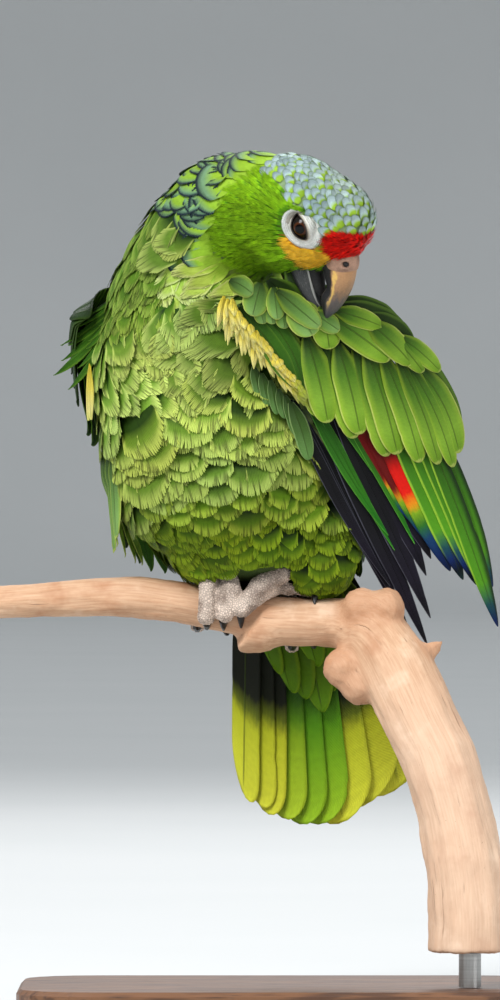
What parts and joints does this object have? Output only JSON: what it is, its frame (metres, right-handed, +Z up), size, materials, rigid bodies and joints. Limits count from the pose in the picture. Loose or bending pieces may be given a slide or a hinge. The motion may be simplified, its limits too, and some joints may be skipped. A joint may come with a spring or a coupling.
{
  "type": "amazon parrot model",
  "caption": "Life-size still model of a red-lored amazon parrot preening a half-open wing, gripping a cut length of branch on a plain display stand.",
  "frame": {"origin": "on the underside of the stand's base, below the middle of the perch", "axes": "+Z up, -Y the way the bird's breast faces, +X the bird's left side"},
  "size_m": [0.2592, 0.164, 0.3855],
  "materials": {
    "bare_wood": "bare weathered branch, pale tan",
    "bill_dark": "slate-black horn, satin",
    "bill_horn": "worn horn, pinkish brown with a dark grey tip",
    "cere_flesh": "bare pinkish-grey skin",
    "claw_black": "black horn, satin",
    "covert_green": "rounded green wing coverts with thin pale rims",
    "edge_yellow": "yellow feathers at the bend of the wing",
    "eye_dark": "wet, glossy eye with an orange-brown iris and a black pupil",
    "flight_green": "sleek green flight feathers with a red patch and dark blue tips",
    "foot_grey": "grey scaly skin",
    "plumage_green": "soft matt feathers, green with pale fringes, scalloped dark on the nape and pale lilac-blue on the crown",
    "primary_dark": "blue-black primaries with narrow green outer webs",
    "stand_steel": "brushed",
    "stand_wood": "dark stained hardwood, satin",
    "tail_yellow_green": "dark olive at the base and yellow-green in the outer half"
  },
  "bodies": {
    "root": {"bill_lower": "bill_dark", "bill_upper": "bill_horn", "branch": "bare_wood", "cere": "cere_flesh", "claw_left_inner_back": "claw_black", "claw_left_inner_front": "claw_black", "claw_left_outer_back": "claw_black", "claw_left_outer_front": "claw_black", "claw_right_inner_back": "claw_black", "claw_right_inner_front": "claw_black", "claw_right_outer_back": "claw_black", "claw_right_outer_front": "claw_black", "eye_left": "eye_dark", "eye_right": "eye_dark", "foot_left": "foot_grey", "foot_right": "foot_grey", "head": "plumage_green", "neck": "plumage_green", "rump": "plumage_green", "stand_base": "stand_wood", "stand_rod": "stand_steel", "tail": "tail_yellow_green", "tail_coverts_under": "plumage_green", "tail_coverts_upper": "plumage_green", "thigh_left": "plumage_green", "thigh_right": "plumage_green", "toe_left_inner_back": "foot_grey", "toe_left_inner_front": "foot_grey", "toe_left_outer_back": "foot_grey", "toe_left_outer_front": "foot_grey", "toe_right_inner_back": "foot_grey", "toe_right_inner_front": "foot_grey", "toe_right_outer_back": "foot_grey", "toe_right_outer_front": "foot_grey", "trunk": "plumage_green", "wing_left_alula": "flight_green", "wing_left_arm": "covert_green", "wing_left_edge": "edge_yellow", "wing_left_greater_coverts": "covert_green", "wing_left_median_coverts": "covert_green", "wing_left_primaries": "primary_dark", "wing_left_secondaries": "flight_green", "wing_right_coverts": "covert_green", "wing_right_edge": "edge_yellow", "wing_right_primaries": "primary_dark", "wing_right_secondaries": "flight_green"}
  },
  "joints": []
}
